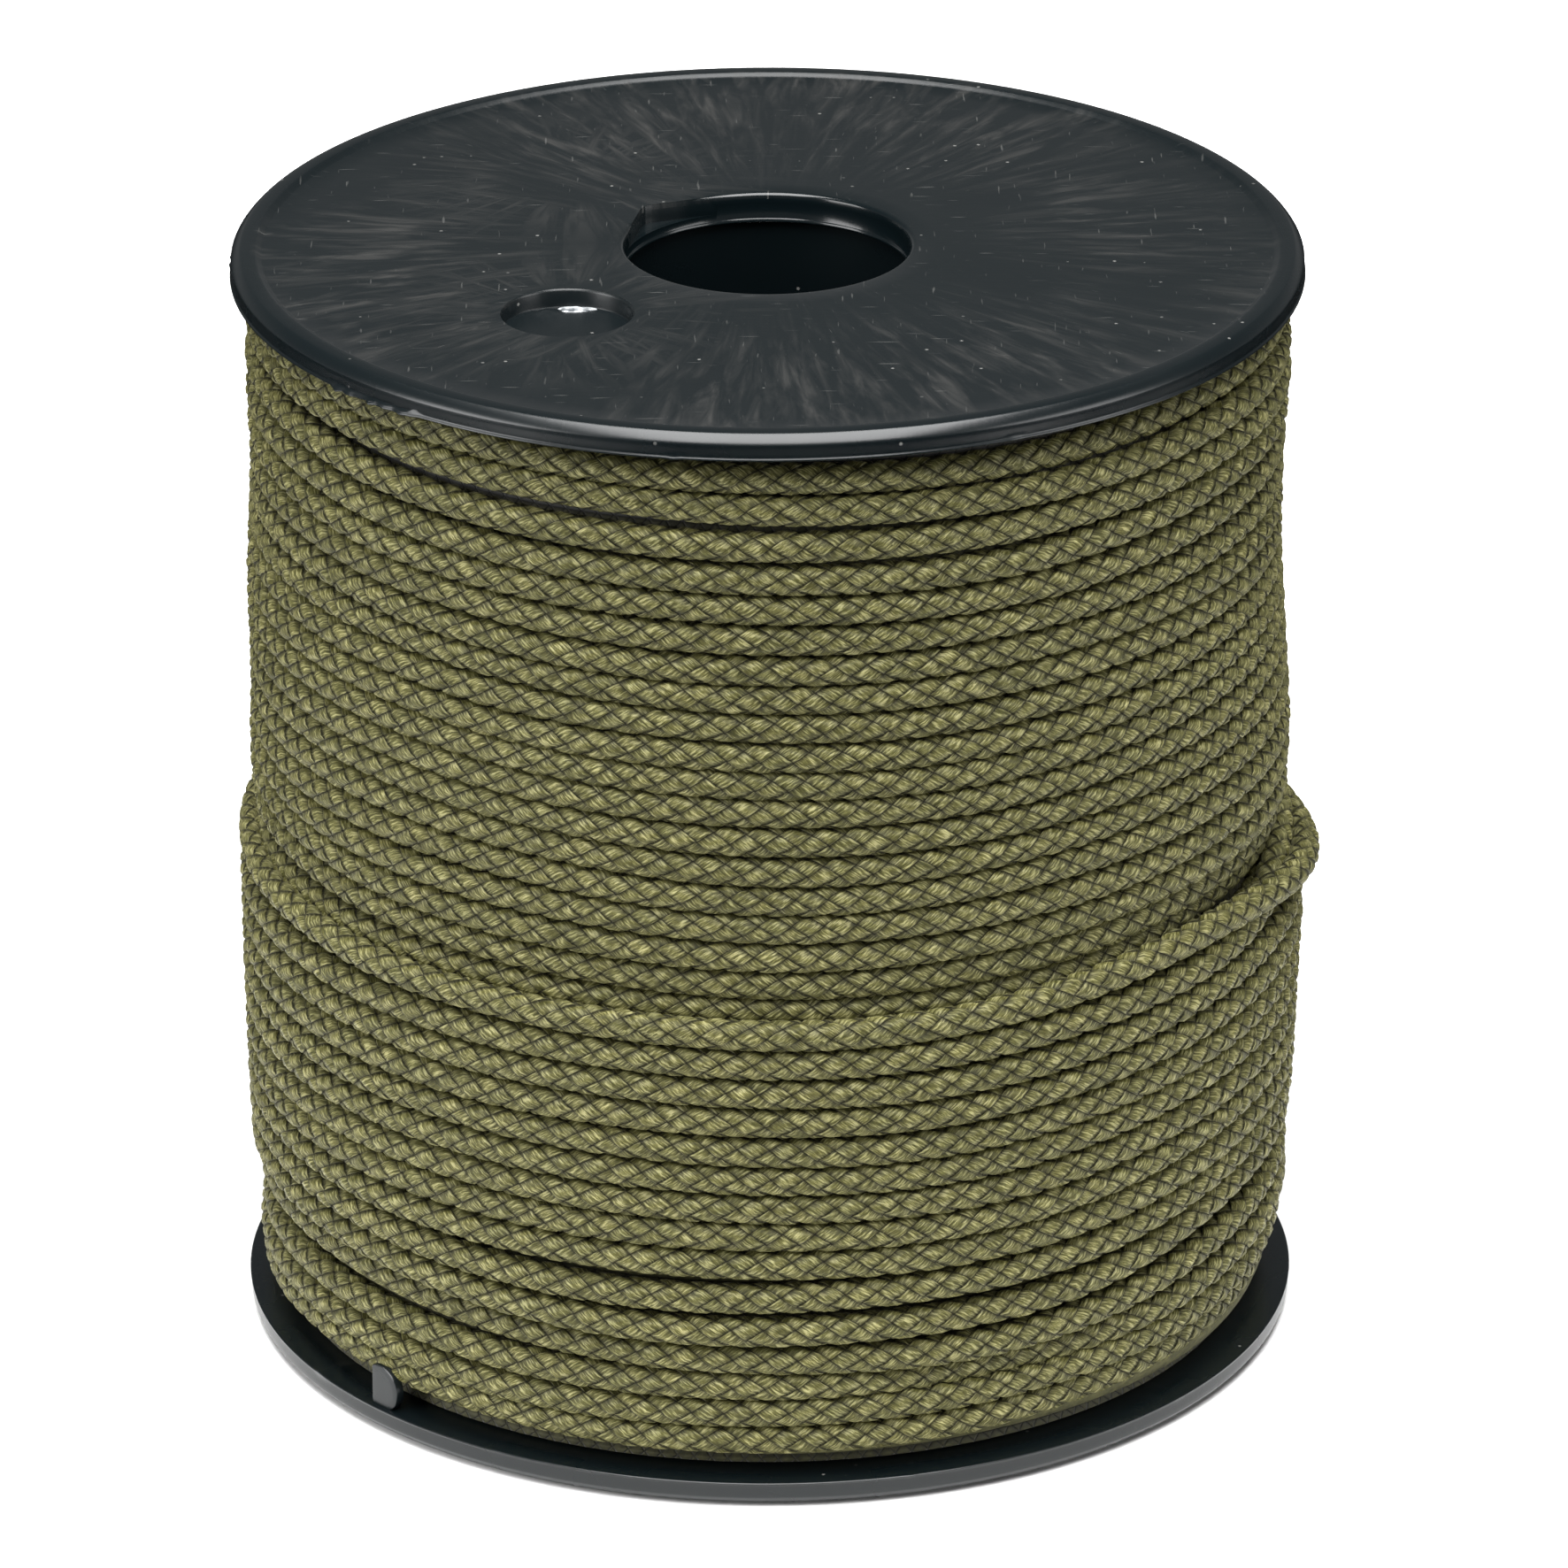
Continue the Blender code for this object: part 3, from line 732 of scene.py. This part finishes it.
def black_plastic(name, streak_share, rough):
    """Black plastic with radial flow streaks, swirls round the gate, scratches and specks.

    The masks are ramps on the distance from the axis, written as a share of 50 mm (times 20) or of 60 mm.
    """
    material, tree, shader = new_material(name)
    place = node(tree, "ShaderNodeTexCoord").outputs["Object"]
    split = node(tree, "ShaderNodeSeparateXYZ")
    tree.links.new(place, split.inputs[0])
    x, y, z = split.outputs

    # Streaks run out from the axis in clouds, and swirls surround the gate.
    flow, out = polar_noise(tree, x, y, 22.0, 95.0, 3.0, 0.5)
    cloud = noise(tree, place, 38.0)
    sparse = ramp(tree, flow, [(0.44, 0.0), (0.56, 0.30), (0.70, 1.0)])
    where = ramp(tree, cloud, [(0.36, 0.05), (0.60, 1.0)])
    outer_part = ramp(tree, times(tree, out, 20.0), [(0.36, 0.25), (0.62, 1.0)])
    streak = times(tree, times(tree, sparse, where), outer_part)
    near_x = math_node(tree, "ADD", x, GATE_LEFT)
    near_y = math_node(tree, "SUBTRACT", math_node(tree, "ABSOLUTE", y), GATE_FROM_MIDDLE)
    swirl, from_gate = polar_noise(tree, near_x, near_y, 6.0, 60.0, 3.0, 1.2)
    gate_part = ramp(tree, times(tree, from_gate, 40.0), [(0.26, 0.0), (0.36, 0.55), (0.9, 0.0)])
    swirls = times(tree, ramp(tree, swirl, [(0.48, 0.0), (0.66, 1.0)]), gate_part)
    streak = math_node(tree, "MAXIMUM", streak, swirls)

    # They stay on the outer faces: not on the rim, not in the bore, the notch or the pocket.
    rim_part = ramp(tree, times(tree, out, 1000.0 / 60.0), [(0.815, 0.0), (0.835, 1.0)])
    in_bore = ramp(tree, times(tree, out, 20.0), [(0.284, 1.0), (0.292, 0.0)])
    from_middle = math_node(tree, "ABSOLUTE", math_node(tree, "SUBTRACT", z, SPOOL_HEIGHT * MM / 2))
    near_face = math_node(tree, "GREATER_THAN", from_middle, (SPOOL_HEIGHT / 2 - FACE_DEPTH) * MM)
    on_face = times(tree, near_face, math_node(tree, "SUBTRACT", 1.0, rim_part))
    streak = times(tree, streak, times(tree, on_face, streak_share))

    # Specks of dust, and fine scratches in three directions.
    specks = node(tree, "ShaderNodeTexVoronoi", Scale=420.0)
    tree.links.new(place, specks.inputs["Vector"])
    dust = ramp(tree, specks.outputs["Distance"], [(0.04, 1.0), (0.09, 0.0)])
    dust = times(tree, dust, ramp(tree, specks.outputs["Color"], [(0.60, 0.0), (0.70, streak_share)]))
    lines_a = noise(tree, place, (230.0, 2300.0, 300.0), 1.0)
    turned_place = node(tree, "ShaderNodeMapping", Rotation=(0.0, 0.0, 0.9), Scale=(2300.0, 260.0, 300.0))
    tree.links.new(place, turned_place.inputs["Vector"])
    lines_b = noise(tree, turned_place.outputs[0], 1.0, 1.0)
    scuff, _ = polar_noise(tree, x, y, 260.0, 420.0, 1.0, 0.0)
    marks = math_node(tree, "MAXIMUM", ramp(tree, lines_a, [(0.72, 0.0), (0.80, 1.0)]),
                      ramp(tree, lines_b, [(0.72, 0.0), (0.80, 1.0)]))
    marks = math_node(tree, "MAXIMUM", marks, ramp(tree, scuff, [(0.74, 0.0), (0.84, 1.0)]))
    marks = times(tree, marks, times(tree, on_face, streak_share))

    base = mix(tree, streak, BLACK, STREAK_GREY)
    base = mix(tree, times(tree, marks, 0.28), base, DUST)
    tree.links.new(mix(tree, dust, base, DUST), shader.inputs["Base Color"])
    broad = noise(tree, place, 75.0, 3.0)
    value = added(tree, rough - 0.08, (broad, 0.16), (streak, 0.12), (rim_part, -0.06), (in_bore, -0.15))
    tree.links.new(value, shader.inputs["Roughness"])
    grain = noise(tree, place, 900.0)
    fine = added(tree, 0.0, (lines_b, 0.3), (lines_a, 0.4), (grain, 0.3))
    height = added(tree, fine, (broad, 2.5), (streak, 1.0), (marks, -0.8))
    bumped(tree, shader, height, 0.5, 0.00002)
    set_numbers(shader, {"Specular IOR Level": 0.36})
    return material


flange_plastic = black_plastic("flange_plastic", 1.0, 0.33)
tube_plastic = black_plastic("tube_plastic", 0.08, 0.5)

# %% [markdown]
# ## The flanges
# Both flanges come from one mould. The outline is drawn once, from the flat inner face round the rim, over the
# narrow bead that the spool stands on, down the dished outer face and into the bore, and is turned about the
# axis. Turning fits, because every feature but the pocket, the notch and the lug is round. The mould's parting
# line leaves a thin lip along the lower edge of the rim, and in one place the lip is ragged.

# %% The outline, in mm, outer face down
BORE = 13.93
SPIGOT = 15.9
SPIGOT_END = 11.55
FACE_EDGE = 48.9
LAY_UP = 2.55


def corner(centre, radius, start, end, steps, power=2.0):
    """A round corner: centre plus radius times the cosine and sine, each to the power 2 / power."""
    a = np.radians(np.linspace(start, end, steps))
    turned_cos = np.sign(np.cos(a)) * np.abs(np.cos(a)) ** (2 / power)
    turned_sin = np.sign(np.sin(a)) * np.abs(np.sin(a)) ** (2 / power)
    return np.stack([centre[0] + radius * turned_cos, centre[1] + radius * turned_sin], axis=1)


def straight(start, end, steps):
    """Points on a straight line, without its last."""
    t = np.linspace(0, 1, steps, endpoint=False)[:, None]
    return np.array(start) * (1 - t) + np.array(end) * t


outline = np.concatenate([
    straight((SPIGOT, LAY_UP), (51.6, LAY_UP), 5),
    [(51.90, LAY_UP), (52.02, 2.53), (52.08, 2.47), (52.08, 2.40), (52.05, 2.34), (51.95, 2.24), (51.93, 2.18)],
    straight((51.93, 2.05), (51.97, 1.10), 3),
    corner((51.02, 1.00), 0.95, 0, -90, 15, 1.3),
    [(50.7, 0.02), (50.3, 0.0), (49.75, 0.0), (49.60, 0.02), (49.48, 0.08)],
    [(49.2, 0.27), (49.08, 0.34), (49.0, 0.38)],
    straight((FACE_EDGE, 0.41), (BORE + 0.34, 0.04), 14),
    [(BORE + 0.34, 0.04), (BORE + 0.24, 0.07), (BORE + 0.06, 0.20), (BORE, 0.32)],
    [(BORE, 1.0), (BORE, 2.55), (BORE - 0.05, 2.62), (BORE - 0.16, 2.76), (BORE - 0.17, 2.90), (BORE - 0.10, 3.0)],
    [(BORE + 0.5, 3.0), (BORE + 0.55, 3.05)],
    [(BORE + 0.55, SPIGOT_END - 0.1), (BORE + 0.65, SPIGOT_END)],
    [(SPIGOT - 0.5, SPIGOT_END), (SPIGOT, SPIGOT_END - 0.5)],
])
print("outline of", len(outline), "points")

# %% [markdown]
# The pocket, the notch in the bore and the lug come from three small solids. The first two are cut out of the
# turned body with a Boolean, because a hole across the grid's own lines is what a Boolean is for. The pocket's
# walls open a little towards the face, and its floor has the low ridge that the injection gate leaves.

# %% Pocket, notch and lug as rings of points
POCKET_ANGLE, POCKET_DISTANCE, POCKET_RADIUS = math.radians(135.5), 26.8, 6.3
NOTCH_ANGLE, NOTCH_SPAN, NOTCH_REACH, NOTCH_DEPTH = math.radians(-139.0), math.radians(28.0), 2.1, 1.9
LUG_ANGLE, LUG_RADIUS, LUG_THICKNESS = math.radians(-137.5), 2.45, 0.9
POCKET_DEPTH = 1.93
pocket_middle = POCKET_DISTANCE * np.array([math.cos(POCKET_ANGLE), math.sin(POCKET_ANGLE)])


def pocket_rings():
    """Circles from below the face up to the floor; the floor's height has a low hill at one side."""
    a = np.linspace(0, 2 * np.pi, 96, endpoint=False)[None, :]
    table = [(-1, 0.16), (0.14, 0.16), (0.26, 0.06), (0.40, 0.0), (1.72, 0.0), (1.86, -0.05), (POCKET_DEPTH, -0.22)]
    table += [(POCKET_DEPTH, -d) for d in (0.8, 1.6, 2.4, 3.2, 4.0, 4.8, 5.6)]
    z, grow = np.array(table).T[:, :, None]
    r = POCKET_RADIUS + grow
    x, y = r * np.cos(a), r * np.sin(a)
    on_floor = (grow < -0.5) * 1.0
    hill = 0.45 * np.exp(-(((x + 2.0) / 1.1) ** 2) - ((y + 4.4) / 0.9) ** 2)
    return np.stack([x + pocket_middle[0], y + pocket_middle[1], z - hill * on_floor + 0 * a], axis=-1)


def notch_rings():
    """The notch's outline of six corners, filled in with points, and opened a little at the face."""
    def spot(radius, angle):
        return np.array([radius * math.cos(angle), radius * math.sin(angle)])

    tip = spot(BORE + NOTCH_REACH, NOTCH_ANGLE)
    side_a, side_b = spot(BORE, NOTCH_ANGLE + NOTCH_SPAN), spot(BORE, NOTCH_ANGLE - NOTCH_SPAN)
    tip_a, tip_b = 0.88 * tip + 0.12 * side_a, 0.88 * tip + 0.12 * side_b
    corners = [spot(BORE * 0.6, NOTCH_ANGLE), side_b, tip_b, 0.25 * (tip_a + tip_b) + 0.5 * tip, tip_a, side_a]
    line = np.concatenate([straight(p, q, 8) for p, q in zip(corners, corners[1:] + corners[:1])])
    levels = [(-1, 1.03), (0.10, 1.03), (0.28, 1.0), (NOTCH_DEPTH, 1.0)]
    centre = line.mean(axis=0)
    return np.stack([
        np.column_stack([centre + (line - centre) * grow, np.full(len(line), z)]) for z, grow in levels
    ])


def lug_rings():
    """A disc with one flat side, its outline scaled ring by ring, standing on the rim with its face outwards."""
    a = np.radians(np.linspace(-120, 120, 41))
    flat = straight((LUG_RADIUS * math.cos(a[-1]), LUG_RADIUS * math.sin(a[-1])),
                    (LUG_RADIUS * math.cos(a[0]), LUG_RADIUS * math.sin(a[0])), 12)[1:]
    line = np.concatenate([LUG_RADIUS * np.stack([np.cos(a), np.sin(a)], 1), flat])
    table = [(0.3, 0.0), (0.7, 0.0), (0.93, 0.02), (0.98, 0.08), (1.0, 0.2)]
    table += [(1.0, LUG_THICKNESS), (0.5, LUG_THICKNESS)]
    scale, depth = np.array(table).T
    across, up = (line[None] * scale[:, None, None]).transpose(2, 0, 1)
    foot = LAY_UP - 0.5 + LUG_RADIUS
    radius = 51.6 - depth[:, None]
    out = np.array([math.cos(LUG_ANGLE), math.sin(LUG_ANGLE)])
    side_way = np.array([-out[1], out[0]])
    x = radius * out[0] + across * side_way[0]
    y = radius * out[1] + across * side_way[1]
    return np.stack([x, y, up + foot], axis=-1)


# %% Turn the outline and cut it
ROUND_STEPS = 480
SHARP_FROM = math.radians(38)


def turned(rows, steps):
    """The outline's radii and heights, repeated round the axis at so many angles."""
    a = np.linspace(0, 2 * np.pi, steps, endpoint=False)[None, :]
    return a, rows[:, :1] + 0 * a, rows[:, 1:] + 0 * a


def flange_rings(rows, ragged):
    """The outline turned about the axis: x = r cos a, y = r sin a; ragged moves the lip in and out."""
    a, r, z = turned(rows, ROUND_STEPS)
    at_lip = ((r > 51.7) & (z > 2.1)).astype(float)
    for degrees, half_width, push, lift in ragged:
        off = (np.degrees(a) - degrees + 180) % 360 - 180
        hill = bump(off, 0, half_width) * at_lip
        r = r + push * hill
        z = z + lift * hill
    wave = 0.015 * np.sin(3 * a + 0.6) + 0.01 * np.sin(7 * a + 2.0)
    r = r + wave * (r > 49)
    return np.stack([r * np.cos(a), r * np.sin(a), z], axis=-1)


def cut(piece, rings, operation="DIFFERENCE"):
    """Cuts a solid made from rings out of a piece, or joins it on, and applies the Boolean."""
    tool = new_piece("tool", *skin(rings), flange_plastic)
    modifier = piece.modifiers.new("cut", "BOOLEAN")
    modifier.object = tool
    modifier.operation = operation
    modifier.solver = "EXACT"
    bpy.context.view_layer.update()
    made = bpy.data.meshes.new_from_object(piece.evaluated_get(bpy.context.evaluated_depsgraph_get()))
    piece.modifiers.clear()
    piece.data = made
    bpy.data.objects.remove(tool, do_unlink=True)


def flange(name, ragged, turned_over):
    """The moulding in its place: as it is at the bottom, or turned half round X and lifted for the top."""
    piece = new_piece(name, *skin(flange_rings(outline, ragged), looped=True), flange_plastic)
    cut(piece, pocket_rings())
    cut(piece, notch_rings())
    cut(piece, lug_rings(), "UNION")
    if turned_over:
        half_turn = Matrix.Translation((0, 0, SPOOL_HEIGHT * MM)) @ Matrix.Rotation(math.pi, 4, "X")
        piece.data.transform(half_turn)
    piece.data.set_sharp_from_angle(angle=SHARP_FROM)
    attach(piece, "root")
    return piece


# Ragged places of the lip: degrees round the mould, half width in degrees, out and up in mm.
wander = np.random.default_rng(3)
least, spread = np.array([130.0, 0.5, 0.08, 0.0]), np.array([13.0, 0.9, 0.20, 0.15])
flash = [tuple(least + spread * wander.random(4)) for _ in range(16)]
flash += [(183.0, 1.1, 0.22, 0.0), (180.6, 0.9, 0.16, 0.0), (100.0, 0.6, 0.12, 0.1), (64.0, 0.7, 0.1, 0.0)]
low_flash = [(-148.0, 1.5, 0.18, 0.25), (-121.0, 0.7, 0.08, 0.1), (-75.0, 0.8, 0.08, 0.0), (-40.0, 0.6, 0.1, 0.1)]
top_piece = flange("top_flange_moulded", flash, True)
bottom_piece = flange("bottom_flange_moulded", low_flash, False)
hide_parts("top_flange")
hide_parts("bottom_flange")
print("flanges:", len(top_piece.data.polygons), "and", len(bottom_piece.data.polygons), "faces")

# %% [markdown]
# A drop of glossy resin sits at the foot of the pocket's far wall, beside the gate's ridge; its pale grey clouds
# are a painted highlight. It is a low dome over a wavy outline: the height falls as the square root of 1 minus
# the distance squared.

# %% Make the drop
gloss_resin, tree, shader = new_material("gloss_resin")
place = node(tree, "ShaderNodeTexCoord").outputs["Object"]
cloudy = noise(tree, place, 900.0)
# Painted highlight: the drop's colour clouds from dark to pale grey.
resin_and_painted_highlight = ramp(tree, cloudy, [(0.35, (0.05, 0.055, 0.06)), (0.6, (0.42, 0.44, 0.45))])
tree.links.new(resin_and_painted_highlight, shader.inputs["Base Color"])
tree.links.new(ramp(tree, cloudy, [(0.3, 0.12), (0.7, 0.25)]), shader.inputs["Roughness"])
bumped(tree, shader, cloudy, 0.3, 0.0001)
DROP_MIDDLE = (pocket_middle[0] + 0.75, -pocket_middle[1] + 5.45)
DROP_HALF_LENGTH, DROP_HALF_WIDTH, DROP_HEIGHT = 1.75, 0.75, 0.22
a = np.linspace(0, 2 * np.pi, 40, endpoint=False)[None, :]
s = np.array([0.25, 0.5, 0.75, 0.9, 1.0, 1.0])[:, None]
wavy = 1 + 0.16 * np.sin(3 * a + 1) + 0.10 * np.sin(5 * a) + 0.06 * np.sin(8 * a + 2)
dome = DROP_HEIGHT * np.sqrt(1 - np.minimum(s, 1) ** 2)
dome[-1] = -0.12
drop_rings = np.stack([
    DROP_MIDDLE[0] + DROP_HALF_LENGTH * s * wavy * np.cos(a),
    DROP_MIDDLE[1] + DROP_HALF_WIDTH * s * wavy * np.sin(a),
    SPOOL_HEIGHT - POCKET_DEPTH + dome + 0 * a,
], axis=-1)
drop = new_piece("gate_drop", *skin(drop_rings), gloss_resin)
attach(drop, "root")

# %% [markdown]
# ## Loose fibres
# A few broken filaments stand off the braid. Each is a bent hair about 0.04 mm thick. They are real thin tubes,
# because a hair shows by its outline, and so few of them cost next to nothing.

# %% Make the fibres
HAIRS = 34
HAIR_RADIUS = 0.022
HAIR_STEPS = 7
HAIR_ROOT = 1.45
HAIR_LIFT = 0.7


def hair(length, towards, curl, reach):
    """A bent hair as rings: it leaves the cord's surface outwards and bends along the cord by curl."""
    out = np.cos(towards) * at(length, outwards) + np.sin(towards) * at(length, sideways)
    along_cord = np.cross(at(length, outwards), at(length, sideways))
    t = np.linspace(0, 1, HAIR_STEPS)[:, None]
    middle = at(length, route) + out * (HAIR_ROOT + HAIR_LIFT * reach * t) + along_cord * curl * reach * t**2
    slim = HAIR_RADIUS * np.where(t < 0.9, 1.0, 0.4)[:, :, None]
    turn = np.linspace(0, 2 * np.pi, 4, endpoint=False)[None, :, None]
    across = np.cross(out, along_cord)
    return middle[:, None, :] + slim * (np.cos(turn) * along_cord + np.sin(turn) * across)


hair_points, hair_faces, hair_count = [], [], 0
for length in rng.uniform(length_at(2, 0), along[-1] - 200.0, HAIRS):
    towards = rng.uniform(-0.8, 0.8)
    curl = rng.choice((-1.0, 1.0)) * rng.uniform(0.3, 1.1)
    points, face_arrays = skin(hair(length, towards, curl, rng.uniform(0.8, 1.9)))
    hair_points.append(points)
    hair_faces += [faces + hair_count for faces in face_arrays]
    hair_count += len(points)
fibres = new_piece("loose_fibres", np.concatenate(hair_points), hair_faces, wound_cord)
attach(fibres, "root")
print(HAIRS, "loose fibres")

# %% [markdown]
# ## The hub tube
# A plain tube keeps the flanges apart. Each end slides over a flange's spigot. It is a ring outline with small
# chamfers, turned about the axis.

# %% Make the tube
TUBE_EDGE = 0.25
TUBE_WALL = 1.8
TUBE_STEPS = 128
tube_low, tube_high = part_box("hub_tube")
tube_out = tube_high.x / MM
tube_in = tube_out - TUBE_WALL
low, high = tube_low.z / MM, tube_high.z / MM
e = TUBE_EDGE
tube_outline = np.concatenate([
    straight((tube_out, low + e), (tube_out, high - e), 8),
    [(tube_out, high - e), (tube_out - e, high), (tube_in + e, high)],
    straight((tube_in, high - e), (tube_in, low + e), 8),
    [(tube_in, low + e), (tube_in + e, low), (tube_out - e, low)],
])
way, r, z = turned(tube_outline, TUBE_STEPS)
tube_rings = np.stack([r * np.cos(way), r * np.sin(way), z], axis=-1)
tube = new_piece("hub_tube_turned", *skin(tube_rings, looped=True), tube_plastic)
tube.data.set_sharp_from_angle(angle=SHARP_FROM)
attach(tube, "root")
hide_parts("hub_tube")

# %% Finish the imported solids
# Nearly all of them are hidden or replaced, but none is left plain.
finishes = {"cord_layer_": wound_cord, "top_flange": flange_plastic, "bottom_flange": flange_plastic,
            "hub_tube": tube_plastic}
for item in bpy.data.objects:
    for start, finish in finishes.items():
        if item.name.startswith(start):
            for slot in item.material_slots:
                slot.material = finish
print("finished every solid whose name starts with", ", ".join(finishes))

# %% [markdown]
# ## Floor and light
# The spool stands on a white floor under one large soft box, which reaches from behind it to well in front. The
# rounded edge of the upper flange mirrors that box as a bright band. Two weaker boxes light the sides. The walls
# of the room are a dim grey, brightest at the horizon, so the black faces mirror a quiet grey. A small white
# card under the spool, which the camera doesn't see, throws light up at the lower turns.

# %% White surroundings
world = bpy.data.worlds.new("studio")
bpy.context.scene.world = world
world.use_nodes = True
sky = world.node_tree
split = node(sky, "ShaderNodeSeparateXYZ")
sky.links.new(node(sky, "ShaderNodeTexCoord").outputs["Generated"], split.inputs[0])
rise = math_node(sky, "MULTIPLY_ADD", split.outputs[2], 0.5, 0.5)
WALLS = [(0.42, 0.02), (0.49, 0.06), (0.505, 0.28), (0.585, 0.25), (0.65, 0.17), (0.72, 0.13), (1.0, 0.10)]
walls = ramp(sky, rise, WALLS)
sky.links.new(walls, sky.nodes["Background"].inputs[0])
sky.nodes["Background"].inputs[1].default_value = 1.0

floor_white, tree, shader = new_material("floor_white")
set_numbers(shader, {"Base Color": (0.86, 0.86, 0.855, 1.0), "Roughness": 0.9, "Specular IOR Level": 0.1})
FLOOR = 4000.0
FLOOR_HEIGHT = -0.2


def flat_card(name, x, y, z):
    """A flat card from x[0] to x[1] and y[0] to y[1], facing up."""
    corners = np.array([(x[0], y[0], z), (x[1], y[0], z), (x[1], y[1], z), (x[0], y[1], z)])
    card = new_piece(name, corners, [np.array([[0, 1, 2, 3]])], floor_white)
    return card


floor = flat_card("floor", (-FLOOR, FLOOR), (-FLOOR, FLOOR), FLOOR_HEIGHT)
floor.visible_diffuse = False
floor.visible_glossy = False
card = flat_card("floor_near", (-220, 220), (-190, 60), FLOOR_HEIGHT / 2)
card.visible_camera = False
card.visible_shadow = False


# %% Soft boxes
def soft_light(name, place, aim_at, size, power):
    """A rectangular soft light aimed at a point, all in metres."""
    data = bpy.data.lights.new(name, "AREA")
    data.shape = "RECTANGLE"
    data.size, data.size_y = size
    data.energy = power
    lamp = bpy.data.objects.new(name, data)
    bpy.context.scene.collection.objects.link(lamp)
    lamp.location = place
    lamp.rotation_euler = (Vector(place) - Vector(aim_at)).to_track_quat("Z", "Y").to_euler()
    return lamp


centre = (0.0, 0.0, 0.055)
soft_light("overhead", (0.0, -0.24, 0.95), centre, (0.8, 1.0), 36.0)
soft_light("left_box", (-0.95, -0.45, 0.35), centre, (0.6, 0.8), 14.0)
soft_light("right_box", (0.95, -0.40, 0.35), centre, (0.6, 0.8), 8.0)
bpy.context.scene.view_settings.view_transform = "Standard"
